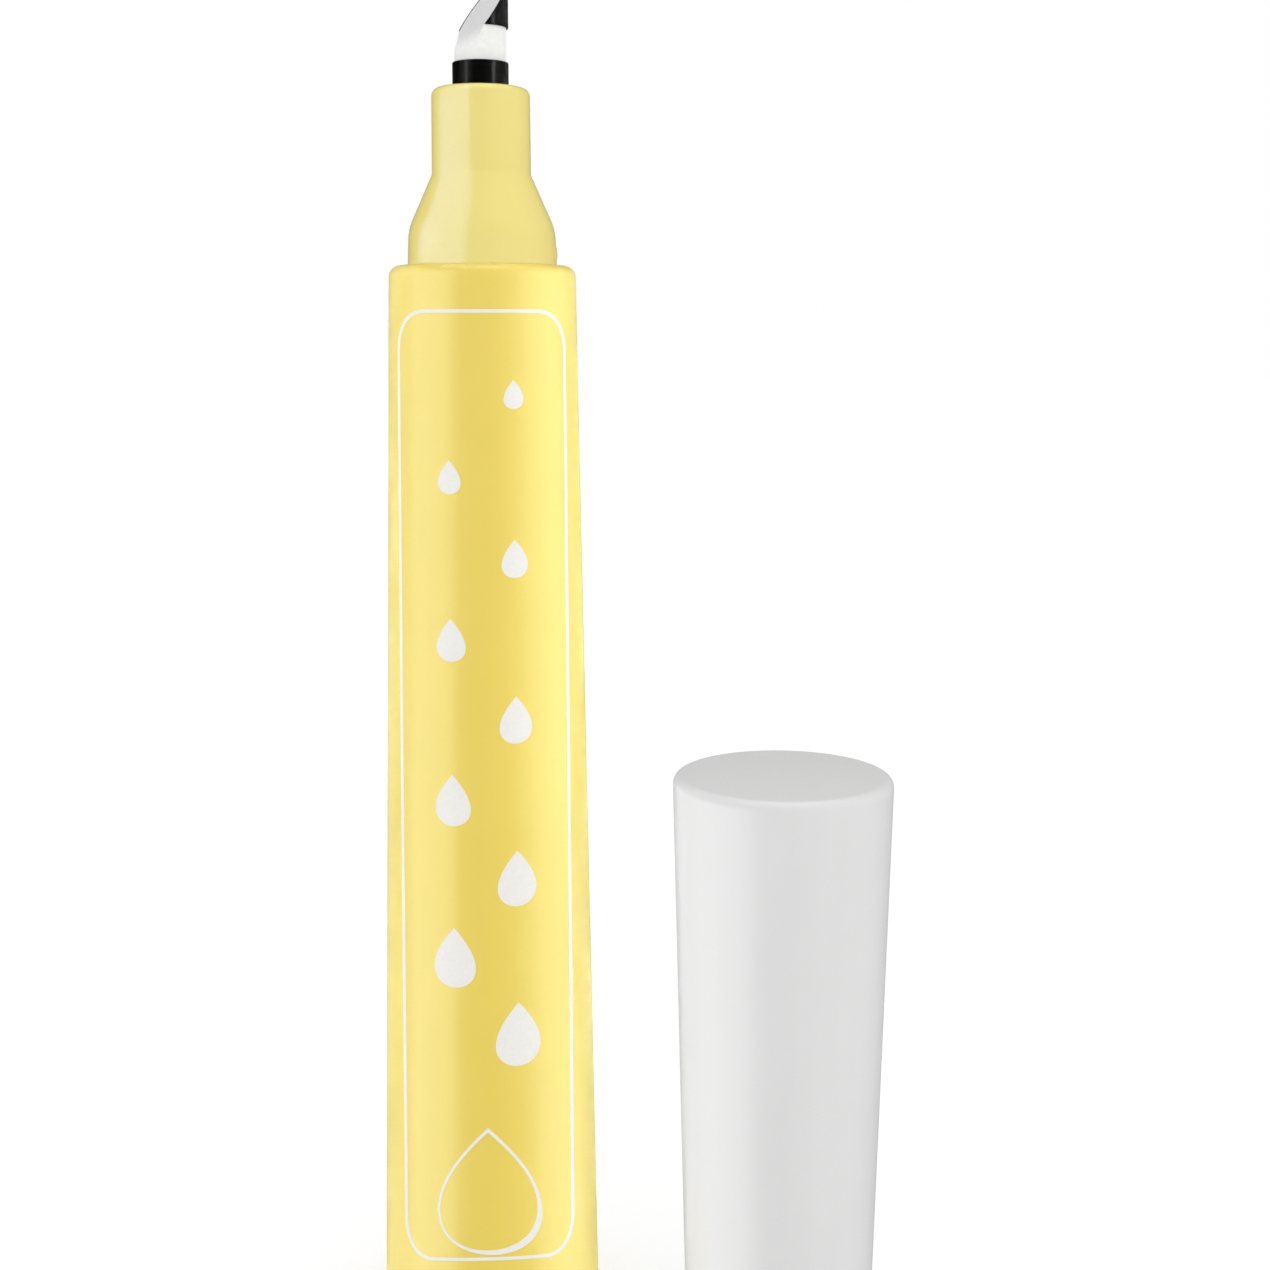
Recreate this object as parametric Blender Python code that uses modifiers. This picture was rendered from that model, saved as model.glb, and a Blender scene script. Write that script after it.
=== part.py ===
"""Cuticle remover pen, standing on its base with its cap stood beside it.

Metres, +Z up. The origin is the centre of the pen's base, on the table, and +Z runs up
the pen's axis to its nib. The cap stands closed end up, mouth down, to the pen's right.
Every piece is turned about its own axis, so most of the file is outlines in X and Z.
"""

import math

import bmesh
import bpy
from mathutils import Matrix, Vector

# Barrel: a straight taper, narrow at the shoulder that meets the neck and the cap
BARREL_LENGTH = 0.0832
SHOULDER_DIAMETER = 0.01396
BASE_DIAMETER = 0.0171
BARREL_BASE_WALL = 0.0013
SHOULDER_FILLET = 0.0005
BASE_FILLET = 0.0006
LIP_HEIGHT = 0.0030
LIP_OVERHANG = 0.0007

# Rear plug, pressed into the base
PLUG_FLANGE_THICKNESS = 0.0013
PLUG_FLANGE_LEDGE = 0.0004
PLUG_FLOOR_THICKNESS = 0.0020
PLUG_HEIGHT = 0.0060
PLUG_LEAST_CUP_WALL = 0.0009
PLUG_RIB_HEIGHT = 0.0008
PLUG_RIB_WIDTH = 0.0008
PLUG_EDGE_FILLET = 0.0002

# Neck: the paler front section, with its flange on the barrel's shoulder
FLANGE_DIAMETER = 0.01114
FLANGE_TOP_DIAMETER = 0.01096
FLANGE_HEIGHT = 0.00265
FLANGE_FILLET = 0.0040
FLANGE_FOOT_CHAMFER = 0.00015
FLANGE_SEAT_WIDTH = 0.0006
CONE_HEIGHT = 0.00405
CONE_ROOT_FILLET = 0.0006
NECK_ROOT_DIAMETER = 0.00737
NECK_TIP_DIAMETER = 0.00729
NECK_TUBE_HEIGHT = 0.00625
NECK_TIP_FILLET = 0.0006
SPIGOT_LENGTH = 0.0062
SPIGOT_WALL = 0.0009
SNAP_BEAD_HEIGHT = 0.0009
SNAP_BEAD_PROUD = 0.00012
STEM_BORE_LENGTH = 0.0020
CHAMBER_CONE_HEIGHT = 0.0026

# Snap lugs round the flange, which hold the cap on
LUG_COUNT = 3
LUG_PROUD = 0.0001
LUG_HEIGHT = 0.0014
LUG_WIDTH = 0.0022
LUG_CENTRE_ABOVE_SHOULDER = 0.00095

# Nib: a white core between two thin black skins, cut off on a slant
NIB_DIAMETER = 0.00385
NIB_BODY_DEPTH = 0.0060
NIB_STEM_DIAMETER = 0.0030
NIB_STEM_CHAMFER = 0.0003
NIB_TIP_FLAT = 0.00025
SKIN_WALL = 0.00014
SKIN_GAP = 0.00002
SKIN_EDGE_FILLET = 0.00006
COLLAR_ABOVE_NECK = 0.00185
COLLAR_BELOW_NECK = 0.0024
SLEEVE_ABOVE_NECK = 0.00435
CUT_AXIS_ABOVE_NECK = 0.00535
CUT_SLOPE = math.radians(54.5)
CUT_BEARING = math.radians(35.5)

# Reservoir: a fibre core in a film wrap, held between the plug and the neck
RESERVOIR_CLEARANCE = 0.00025
WRAP_WALL = 0.00012
RESERVOIR_CHAMFER = 0.0004
STEM_IN_RESERVOIR = 0.0060

# Cap: flush with the shoulder at its mouth and widest at its closed end
CAP_LENGTH = 0.04565
CAP_END_DIAMETER = 0.0164
CAP_END_FILLET = 0.0006
CAP_END_WALL = 0.0018
CAP_MOUTH_FILLET = 0.00015
CAP_MOUTH_CHAMFER = 0.0002
CAP_LINER_STEP = 0.0004
CAP_BORE_DRAFT = 0.0002
CAP_GAP_TO_PEN = 0.0065
CAP_BEARING = math.radians(-15.0)

# Cap liner: the inner cap, which seals on the neck's tube
LINER_FLANGE_THICKNESS = 0.0008
LINER_WALL = 0.0009
LINER_LEAD_IN = 0.0005
LINER_SEAL_HEIGHT = 0.0008
LINER_CHAMBER_DIAMETER = 0.0064
LINER_RIB_COUNT = 6
LINER_RIB_WIDTH = 0.0007
LINER_RIB_LEAST_PROUD = 0.0001
LINER_RIB_END_ABOVE_FLANGE = 0.0095

# Clearances between pieces
SEAT_GAP = 0.00005
PRESS_GAP = 0.00008
LOOSE_GAP = 0.0003
CAP_RUNNING_GAP = 0.00006
SEAL_GAP = 0.00005
LINER_BORE_GAP = 0.00012
CONE_TO_LINER_GAP = 0.0008
TIP_TO_LINER_GAP = 0.0010

# How finely the curves are cut, and how far a cutter runs past what it cuts
BODY_SIDES = 64
NECK_SIDES = 56
NIB_SIDES = 40
INNER_SIDES = 40
LUG_SIDES = 16
FILLET_STEPS = 3
CUTTER_OVERRUN = 0.002
MERGE_DISTANCE = 0.0000001
FILLET_LIMIT_SHARE = 0.45
SHARP_ANGLE = math.radians(35.0)

# Sizes worked out from those above
shoulder_radius = SHOULDER_DIAMETER / 2
base_radius = BASE_DIAMETER / 2
flange_radius = FLANGE_DIAMETER / 2
flange_top_radius = FLANGE_TOP_DIAMETER / 2
neck_root_radius = NECK_ROOT_DIAMETER / 2
neck_tip_radius = NECK_TIP_DIAMETER / 2
spigot_radius = flange_radius - FLANGE_SEAT_WIDTH
lip_bore_radius = spigot_radius + PRESS_GAP
inner_top_radius = lip_bore_radius + LIP_OVERHANG
inner_base_radius = base_radius - BARREL_BASE_WALL


def barrel_inner_radius(z):
    """The barrel's inner radius at a height between the plug's seat and the lip."""
    share = z / (BARREL_LENGTH - LIP_HEIGHT)
    return inner_base_radius + (inner_top_radius - inner_base_radius) * share


neck_height = FLANGE_HEIGHT + CONE_HEIGHT + NECK_TUBE_HEIGHT
neck_z = BARREL_LENGTH + SEAT_GAP
nib_radius = NIB_DIAMETER / 2
stem_radius = NIB_STEM_DIAMETER / 2
skin_inner_radius = nib_radius + SKIN_GAP
skin_outer_radius = skin_inner_radius + SKIN_WALL
tip_rise = math.tan(CUT_SLOPE) * skin_outer_radius
tip_above_neck = CUT_AXIS_ABOVE_NECK + tip_rise - NIB_TIP_FLAT
plug_outer_radius = barrel_inner_radius(PLUG_HEIGHT) - PRESS_GAP
bore_fit_radius = inner_top_radius - RESERVOIR_CLEARANCE
cup_fit_radius = plug_outer_radius - PLUG_LEAST_CUP_WALL - PRESS_GAP
wrap_outer_radius = min(bore_fit_radius, cup_fit_radius)
reservoir_radius = wrap_outer_radius - WRAP_WALL - SEAT_GAP
reservoir_bottom = PLUG_FLOOR_THICKNESS + PLUG_RIB_HEIGHT + LOOSE_GAP
reservoir_top = BARREL_LENGTH - SPIGOT_LENGTH - LOOSE_GAP
cap_end_radius = CAP_END_DIAMETER / 2
cap_step_z = FLANGE_HEIGHT + CONE_HEIGHT + CONE_TO_LINER_GAP
liner_bore_radius = neck_root_radius + LINER_BORE_GAP
liner_outer_radius = liner_bore_radius + LINER_WALL
liner_chamber_radius = LINER_CHAMBER_DIAMETER / 2
liner_fit_radius = liner_outer_radius + LINER_RIB_LEAST_PROUD + PRESS_GAP + CAP_BORE_DRAFT
cap_bore_radius = max(flange_radius + CAP_RUNNING_GAP, liner_fit_radius + CAP_LINER_STEP)
liner_hold_radius = cap_bore_radius - CAP_LINER_STEP
liner_rib_radius = liner_hold_radius - CAP_BORE_DRAFT - PRESS_GAP
cap_distance = base_radius + cap_end_radius + CAP_GAP_TO_PEN

# Colours and finish of each piece, read from the photograph
FINISHES = {
    "barrel_yellow": ((0.80, 0.62, 0.11, 1.0), 0.30),
    "neck_yellow": ((0.87, 0.73, 0.23, 1.0), 0.27),
    "nib_white": ((0.90, 0.90, 0.89, 1.0), 0.70),
    "nib_black": ((0.003, 0.003, 0.003, 1.0), 0.22),
    "reservoir_fibre": ((0.86, 0.85, 0.80, 1.0), 0.95),
    "reservoir_film": ((0.78, 0.80, 0.80, 1.0), 0.25),
    "cap_white": ((0.745, 0.745, 0.745, 1.0), 0.36),
    "liner_natural": ((0.80, 0.80, 0.77, 1.0), 0.45),
}


def clear_scene():
    """Remove what the start-up file holds."""
    for item in list(bpy.data.objects):
        bpy.data.objects.remove(item, do_unlink=True)


def new_collection(name):
    """A collection in the scene, by name."""
    collection = bpy.data.collections.new(name)
    bpy.context.scene.collection.children.link(collection)
    return collection


def make_material(name):
    """A Principled material with the colour and roughness that FINISHES gives."""
    colour, roughness = FINISHES[name]
    material = bpy.data.materials.new(name)
    material.use_nodes = True
    shader = material.node_tree.nodes["Principled BSDF"]
    shader.inputs["Base Color"].default_value = colour
    shader.inputs["Roughness"].default_value = roughness
    shader.inputs["Metallic"].default_value = 0.0
    material.diffuse_color = colour
    return material


def rounded(corners):
    """Points of an outline whose corners (x, z, radius) are rounded by arcs."""
    points = []
    for index, (x, z, radius) in enumerate(corners):
        corner = Vector((x, z))
        if radius == 0:
            points.append(corner)
            continue
        before = Vector(corners[index - 1][:2]) - corner
        after = Vector(corners[(index + 1) % len(corners)][:2]) - corner
        half_angle = before.angle(after) / 2
        longest_reach = FILLET_LIMIT_SHARE * min(before.length, after.length)
        reach = min(radius / math.tan(half_angle), longest_reach)
        arc_radius = reach * math.tan(half_angle)
        toward_centre = (before.normalized() + after.normalized()).normalized()
        centre = corner + toward_centre * (arc_radius / math.sin(half_angle))
        start = corner + before.normalized() * reach - centre
        end = corner + after.normalized() * reach - centre
        start_angle = math.atan2(start.y, start.x)
        sweep = math.atan2(end.y, end.x) - start_angle
        sweep = math.remainder(sweep, math.tau)
        for step in range(FILLET_STEPS + 1):
            angle = start_angle + sweep * step / FILLET_STEPS
            points.append(centre + Vector((math.cos(angle), math.sin(angle))) * arc_radius)
    return points


def turned(name, corners, sides, finish, location, parent=None):
    """A piece turned about Z from an outline that runs down its outer side.

    An outline that starts on the axis ends there too, and any other closes on itself.
    """
    mesh = bpy.data.meshes.new(name)
    points = [(point.x, 0.0, point.y) for point in rounded(corners)]
    edges = [(index, index + 1) for index in range(len(points) - 1)]
    if corners[0][0] > 0:
        edges.append((len(points) - 1, 0))
    mesh.from_pydata(points, edges, [])
    piece = bpy.data.objects.new(name, mesh)
    parts.objects.link(piece)
    piece.parent = parent
    piece.location = location
    mesh.materials.append(materials[finish])
    screw = piece.modifiers.new("Turn", "SCREW")
    screw.axis = "Z"
    screw.angle = math.tau
    screw.steps = sides
    screw.render_steps = sides
    screw.use_merge_vertices = True
    screw.merge_threshold = MERGE_DISTANCE
    screw.use_smooth_shade = True
    return piece


def cutter_object(name, mesh, matrix, parent=None):
    """A hidden helper shape that a Boolean modifier uses."""
    helper = bpy.data.objects.new(name, mesh)
    cutters.objects.link(helper)
    helper.parent = parent
    helper.matrix_local = matrix
    helper.hide_render = True
    helper.display_type = "WIRE"
    return helper


def box_mesh(name, size):
    """A box of the given size, centred on its own origin."""
    mesh = bpy.data.meshes.new(name)
    shape = bmesh.new()
    bmesh.ops.create_cube(shape, size=1.0)
    bmesh.ops.scale(shape, vec=size, verts=shape.verts)
    shape.to_mesh(mesh)
    shape.free()
    return mesh


def boolean(piece, helper, operation):
    """Cut the helper from a piece, or join it on."""
    step = piece.modifiers.new(helper.name, "BOOLEAN")
    step.object = helper
    step.operation = operation
    step.solver = "EXACT"


def make_barrel():
    """The tapered tube, with a lip at the shoulder and a seat for the plug at the base."""
    seat_radius = inner_base_radius + PLUG_FLANGE_LEDGE
    lip_z = BARREL_LENGTH - LIP_HEIGHT
    outline = [
        (lip_bore_radius, BARREL_LENGTH, 0),
        (shoulder_radius, BARREL_LENGTH, SHOULDER_FILLET),
        (base_radius, 0, BASE_FILLET),
        (seat_radius, 0, 0),
        (seat_radius, PLUG_FLANGE_THICKNESS + SEAT_GAP, 0),
        (barrel_inner_radius(PLUG_FLANGE_THICKNESS), PLUG_FLANGE_THICKNESS + SEAT_GAP, 0),
        (inner_top_radius, lip_z, 0),
        (lip_bore_radius, lip_z, 0),
    ]
    turned("barrel", outline, BODY_SIDES, "barrel_yellow", (0, 0, 0))


def make_rear_plug():
    """The plug that closes the base: a flange, a cup round the reservoir and a rib cross."""
    flange_edge_radius = inner_base_radius + PLUG_FLANGE_LEDGE - PRESS_GAP
    cup_radius = wrap_outer_radius + PRESS_GAP
    outline = [
        (0, PLUG_FLOOR_THICKNESS, 0),
        (cup_radius, PLUG_FLOOR_THICKNESS, 0),
        (cup_radius, PLUG_HEIGHT, 0),
        (plug_outer_radius, PLUG_HEIGHT, PLUG_EDGE_FILLET),
        (barrel_inner_radius(PLUG_FLANGE_THICKNESS) - PRESS_GAP, PLUG_FLANGE_THICKNESS, 0),
        (flange_edge_radius, PLUG_FLANGE_THICKNESS, 0),
        (flange_edge_radius, 0, PLUG_EDGE_FILLET),
        (0, 0, 0),
    ]
    plug = turned("rear_plug", outline, INNER_SIDES, "barrel_yellow", (0, 0, 0))
    rib_height = PLUG_RIB_HEIGHT + PLUG_RIB_WIDTH / 2
    rib_z = PLUG_FLOOR_THICKNESS + PLUG_RIB_HEIGHT - rib_height / 2
    rib_length = 2 * cup_radius + PLUG_RIB_WIDTH
    for index in range(2):
        mesh = box_mesh("plug_rib", (rib_length, PLUG_RIB_WIDTH, rib_height))
        turn = Matrix.Rotation(math.pi / 2 * index, 4, "Z")
        place = Matrix.Translation((0, 0, rib_z)) @ turn
        helper = cutter_object(f"plug_rib_{index}", mesh, place)
        boolean(plug, helper, "UNION")


def make_reservoir():
    """The fibre core with a pocket for the nib's stem, and the film wrapped round it."""
    length = reservoir_top - reservoir_bottom
    pocket_radius = stem_radius + PRESS_GAP
    pocket_floor = length - STEM_IN_RESERVOIR - LOOSE_GAP
    core = [
        (0, pocket_floor, 0),
        (pocket_radius, pocket_floor, 0),
        (pocket_radius, length, 0),
        (reservoir_radius - RESERVOIR_CHAMFER, length, 0),
        (reservoir_radius, length - RESERVOIR_CHAMFER, 0),
        (reservoir_radius, RESERVOIR_CHAMFER, 0),
        (reservoir_radius - RESERVOIR_CHAMFER, 0, 0),
        (0, 0, 0),
    ]
    wrap_inner_radius = wrap_outer_radius - WRAP_WALL
    wrap = [
        (wrap_inner_radius, length - RESERVOIR_CHAMFER, 0),
        (wrap_outer_radius, length - RESERVOIR_CHAMFER, 0),
        (wrap_outer_radius, RESERVOIR_CHAMFER, 0),
        (wrap_inner_radius, RESERVOIR_CHAMFER, 0),
    ]
    place = (0, 0, reservoir_bottom)
    turned("reservoir_core", core, INNER_SIDES, "reservoir_fibre", place)
    turned("reservoir_wrap", wrap, INNER_SIDES, "reservoir_film", place)


def make_neck():
    """The front section: flange, cone and tube outside, spigot and nib bores inside."""
    flange_top = FLANGE_HEIGHT
    cone_top = FLANGE_HEIGHT + CONE_HEIGHT
    bead_top = -LIP_HEIGHT - 2 * SEAT_GAP
    bead_radius = lip_bore_radius + SNAP_BEAD_PROUD
    spigot_bore_radius = spigot_radius - SPIGOT_WALL
    collar_bore_radius = skin_outer_radius + SEAT_GAP
    nib_bore_radius = nib_radius + SEAT_GAP
    stem_bore_radius = stem_radius + PRESS_GAP
    collar_ledge = neck_height - COLLAR_BELOW_NECK
    nib_ledge = neck_height - NIB_BODY_DEPTH
    stem_bore_end = nib_ledge - STEM_BORE_LENGTH
    outline = [
        (collar_bore_radius, neck_height, 0),
        (neck_tip_radius, neck_height, NECK_TIP_FILLET),
        (neck_root_radius, cone_top, CONE_ROOT_FILLET),
        (flange_top_radius, flange_top, FLANGE_FILLET),
        (flange_radius, FLANGE_FOOT_CHAMFER, 0),
        (flange_radius - FLANGE_FOOT_CHAMFER, 0, 0),
        (spigot_radius, 0, 0),
        (spigot_radius, bead_top, 0),
        (bead_radius, bead_top, 0),
        (bead_radius, bead_top - SNAP_BEAD_HEIGHT / 2, 0),
        (spigot_radius, bead_top - SNAP_BEAD_HEIGHT, 0),
        (spigot_radius, -SPIGOT_LENGTH, 0),
        (spigot_bore_radius, -SPIGOT_LENGTH, 0),
        (spigot_bore_radius, stem_bore_end - CHAMBER_CONE_HEIGHT, 0),
        (stem_bore_radius, stem_bore_end, 0),
        (stem_bore_radius, nib_ledge, 0),
        (nib_bore_radius, nib_ledge, 0),
        (nib_bore_radius, collar_ledge, 0),
        (collar_bore_radius, collar_ledge, 0),
    ]
    neck = turned("neck", outline, NECK_SIDES, "neck_yellow", (0, 0, neck_z))
    lug_depth = flange_radius - spigot_radius
    lug_centre = flange_radius + LUG_PROUD - lug_depth
    lug_z = LUG_CENTRE_ABOVE_SHOULDER - SEAT_GAP
    for index in range(LUG_COUNT):
        mesh = bpy.data.meshes.new("snap_lug")
        shape = bmesh.new()
        bmesh.ops.create_uvsphere(shape, u_segments=LUG_SIDES, v_segments=LUG_SIDES // 2, radius=1.0)
        bmesh.ops.scale(shape, vec=(lug_depth, LUG_WIDTH / 2, LUG_HEIGHT / 2), verts=shape.verts)
        shape.to_mesh(mesh)
        shape.free()
        turn = Matrix.Rotation(math.tau * index / LUG_COUNT, 4, "Z")
        place = turn @ Matrix.Translation((lug_centre, 0, lug_z))
        helper = cutter_object(f"snap_lug_{index}", mesh, place, neck)
        boolean(neck, helper, "UNION")


def make_slant_cutter():
    """A block above the plane that cuts the nib and its sleeve off on a slant."""
    size = 2 * (tip_above_neck + CUTTER_OVERRUN)
    block = box_mesh("slant_cutter", (size, size, size))
    axis_point = Vector((0, 0, neck_z + neck_height + CUT_AXIS_ABOVE_NECK))
    tilt = Matrix.Rotation(CUT_BEARING, 4, "Z") @ Matrix.Rotation(-CUT_SLOPE, 4, "Y")
    place = Matrix.Translation(axis_point) @ tilt @ Matrix.Translation((0, 0, size / 2))
    return cutter_object("slant_cutter", block, place)


def make_nib():
    """The core, the collar at its foot and the sleeve at its cut end."""
    neck_top_z = neck_z + neck_height
    cutter = make_slant_cutter()
    body_foot = -NIB_BODY_DEPTH + SEAT_GAP
    stem_foot = reservoir_top - STEM_IN_RESERVOIR - neck_top_z
    core = [
        (0, tip_above_neck, 0),
        (nib_radius, tip_above_neck, 0),
        (nib_radius, body_foot, 0),
        (stem_radius, body_foot, 0),
        (stem_radius, stem_foot + NIB_STEM_CHAMFER, 0),
        (stem_radius - NIB_STEM_CHAMFER, stem_foot, 0),
        (0, stem_foot, 0),
    ]
    collar = skin_outline(COLLAR_ABOVE_NECK, -COLLAR_BELOW_NECK + SEAT_GAP)
    sleeve = skin_outline(tip_above_neck, SLEEVE_ABOVE_NECK)
    place = (0, 0, neck_top_z)
    nib_core = turned("nib_core", core, NIB_SIDES, "nib_white", place)
    turned("nib_collar", collar, NIB_SIDES, "nib_black", place)
    nib_sleeve = turned("nib_sleeve", sleeve, NIB_SIDES, "nib_black", place)
    boolean(nib_core, cutter, "DIFFERENCE")
    boolean(nib_sleeve, cutter, "DIFFERENCE")


def skin_outline(top, foot):
    """The section of a thin skin round the nib, between two heights."""
    return [
        (skin_inner_radius, top, 0),
        (skin_outer_radius, top, SKIN_EDGE_FILLET),
        (skin_outer_radius, foot, SKIN_EDGE_FILLET),
        (skin_inner_radius, foot, 0),
    ]


def make_cap():
    """The cap's shell and its liner, on the cap's own axis beside the pen."""
    axis = bpy.data.objects.new("cap_axis", None)
    parts.objects.link(axis)
    axis.location = Matrix.Rotation(CAP_BEARING, 3, "Z") @ Vector((cap_distance, 0, 0))
    groove_radius = cap_bore_radius - CAP_RUNNING_GAP + LUG_PROUD + SEAT_GAP
    groove_half = LUG_HEIGHT / 2
    groove_z = LUG_CENTRE_ABOVE_SHOULDER
    bore_top = CAP_LENGTH - CAP_END_WALL
    shell = [
        (0, CAP_LENGTH, 0),
        (cap_end_radius, CAP_LENGTH, CAP_END_FILLET),
        (shoulder_radius, 0, CAP_MOUTH_FILLET),
        (cap_bore_radius + CAP_MOUTH_CHAMFER, 0, 0),
        (cap_bore_radius, CAP_MOUTH_CHAMFER, 0),
        (cap_bore_radius, groove_z - groove_half, 0),
        (groove_radius, groove_z, 0),
        (cap_bore_radius, groove_z + groove_half, 0),
        (cap_bore_radius, cap_step_z, 0),
        (liner_hold_radius, cap_step_z, 0),
        (liner_hold_radius - CAP_BORE_DRAFT, bore_top, CAP_END_FILLET),
        (0, bore_top, 0),
    ]
    turned("cap_shell", shell, BODY_SIDES, "cap_white", (0, 0, 0), axis)
    make_cap_liner(axis)


def make_cap_liner(axis):
    """The inner cap: a flange under the shell's step, a sealing bore and the nib's chamber."""
    flange_edge_radius = cap_bore_radius - PRESS_GAP
    flange_top = cap_step_z - SEAT_GAP
    flange_foot = flange_top - LINER_FLANGE_THICKNESS
    tube_end = neck_height + LOOSE_GAP
    chamber_top = neck_height + tip_above_neck + TIP_TO_LINER_GAP
    seal_radius = neck_root_radius + SEAL_GAP
    seal_z = (flange_top + tube_end) / 2
    outline = [
        (0, chamber_top + LINER_WALL, 0),
        (liner_chamber_radius + LINER_WALL, chamber_top + LINER_WALL, LINER_WALL),
        (liner_chamber_radius + LINER_WALL, tube_end + LINER_WALL, 0),
        (liner_outer_radius, tube_end, 0),
        (liner_outer_radius, flange_top, 0),
        (flange_edge_radius, flange_top, 0),
        (flange_edge_radius, flange_foot, 0),
        (liner_bore_radius + LINER_LEAD_IN, flange_foot, 0),
        (liner_bore_radius, flange_foot + LINER_LEAD_IN, 0),
        (liner_bore_radius, seal_z - LINER_SEAL_HEIGHT / 2, 0),
        (seal_radius, seal_z, 0),
        (liner_bore_radius, seal_z + LINER_SEAL_HEIGHT / 2, 0),
        (liner_bore_radius, tube_end, 0),
        (liner_chamber_radius, tube_end + LINER_WALL, 0),
        (liner_chamber_radius, chamber_top, 0),
        (0, chamber_top, 0),
    ]
    place = (0, 0, 0)
    liner = turned("cap_liner", outline, INNER_SIDES, "liner_natural", place, axis)
    rib_root_radius = (liner_bore_radius + liner_outer_radius) / 2
    rib_foot = flange_top - LINER_FLANGE_THICKNESS / 2
    rib_top = flange_top + LINER_RIB_END_ABOVE_FLANGE
    rib_size = (liner_rib_radius - rib_root_radius, LINER_RIB_WIDTH, rib_top - rib_foot)
    rib_centre = ((liner_rib_radius + rib_root_radius) / 2, 0, (rib_top + rib_foot) / 2)
    for index in range(LINER_RIB_COUNT):
        turn = Matrix.Rotation(math.tau * index / LINER_RIB_COUNT, 4, "Z")
        place = turn @ Matrix.Translation(rib_centre)
        helper = cutter_object(f"liner_rib_{index}", box_mesh("liner_rib", rib_size), place, axis)
        boolean(liner, helper, "UNION")


def shade(piece):
    """Apply a piece's modifiers and shade its round faces smooth."""
    seen = piece.evaluated_get(bpy.context.evaluated_depsgraph_get())
    mesh = bpy.data.meshes.new_from_object(seen)
    piece.modifiers.clear()
    piece.data = mesh
    mesh.name = piece.name
    mesh.shade_smooth()
    mesh.set_sharp_from_angle(angle=SHARP_ANGLE)


clear_scene()
parts = new_collection("cuticle_remover_pen")
cutters = new_collection("cutters")
materials = {name: make_material(name) for name in FINISHES}

make_barrel()
make_rear_plug()
make_reservoir()
make_neck()
make_nib()
make_cap()

bpy.context.view_layer.update()
for part in [item for item in parts.objects if item.type == "MESH"]:
    shade(part)
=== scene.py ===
"""The looks of a cuticle remover pen that stands on its base, with its cap beside it.

Metres, +Z up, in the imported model's frame. The pen's axis is the frame's Z axis. Every piece
but the fibre reservoir and its film is turned again here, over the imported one, with finer
sides and edges. The finishes, the printed frame and drops, the light and the camera are
added.
"""

import math

import bmesh
import bpy
from mathutils import Matrix, Vector


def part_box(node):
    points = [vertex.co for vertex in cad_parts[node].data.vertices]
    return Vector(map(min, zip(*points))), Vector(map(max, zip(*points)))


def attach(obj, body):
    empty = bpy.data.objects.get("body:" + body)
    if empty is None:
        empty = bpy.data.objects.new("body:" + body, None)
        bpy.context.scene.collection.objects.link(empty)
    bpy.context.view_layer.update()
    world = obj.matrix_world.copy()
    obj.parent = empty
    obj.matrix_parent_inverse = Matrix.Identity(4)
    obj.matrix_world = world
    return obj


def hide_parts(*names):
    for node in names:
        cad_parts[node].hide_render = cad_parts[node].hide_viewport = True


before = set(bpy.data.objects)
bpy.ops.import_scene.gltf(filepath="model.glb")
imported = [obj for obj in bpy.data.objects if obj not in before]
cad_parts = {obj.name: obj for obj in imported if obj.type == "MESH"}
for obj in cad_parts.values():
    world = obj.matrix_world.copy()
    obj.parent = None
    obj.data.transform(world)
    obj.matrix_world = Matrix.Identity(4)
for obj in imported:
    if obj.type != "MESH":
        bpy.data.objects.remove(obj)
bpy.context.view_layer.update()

# Barrel
SHOULDER_RADIUS = 0.00698
BASE_RADIUS = 0.00855
BARREL_BASE_WALL = 0.0013
SHOULDER_FILLET = 0.0009
BASE_FILLET = 0.0006
LIP_BORE_RADIUS = 0.00505
LIP_HEIGHT = 0.0030
LIP_OVERHANG = 0.0007
MOUTH_EDGE = 0.00012

# Rear plug
PLUG_FLANGE_THICKNESS = 0.0013
PLUG_FLANGE_RADIUS = 0.00757
PLUG_SEAT_LEDGE = 0.0004
PLUG_GAP = 0.00008
PLUG_FLOOR_THICKNESS = 0.0020
PLUG_CUP_RADIUS = 0.00553
PLUG_OUTER_RADIUS = 0.00700
PLUG_DIMPLE_RADIUS = 0.0030
PLUG_DIMPLE_DEPTH = 0.00035
PLUG_EDGE = 0.00025

# Neck, measured up from its seat on the shoulder
SEAT_GAP = 0.00001
FLANGE_RADIUS = 0.00557
FLANGE_TOP_RADIUS = 0.00548
FLANGE_HEIGHT = 0.00265
FLANGE_FILLET = 0.0040
FLANGE_FOOT_FILLET = 0.0001
CONE_HEIGHT = 0.00405
CONE_ROOT_FILLET = 0.0009
NECK_ROOT_RADIUS = 0.003685
NECK_TIP_RADIUS = 0.003645
NECK_TIP_FILLET = 0.0006
COLLAR_BORE_EDGE = 0.00006
COLLAR_GAP = 0.00005
SPIGOT_RADIUS = 0.00497
SPIGOT_WALL = 0.0009
STEM_BORE_RADIUS = 0.00158
STEM_BORE_DEPTH = 0.0080
CHAMBER_CONE_HEIGHT = 0.0026
LUG_COUNT = 3
LUG_PROUD = 0.0001
LUG_HEIGHT = 0.0014
LUG_WIDTH = 0.0022
LUG_CENTRE_ABOVE_SEAT = 0.0009
LUG_ROW_HEIGHT = 0.00008
LUG_SOFTNESS = 1.5

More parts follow.
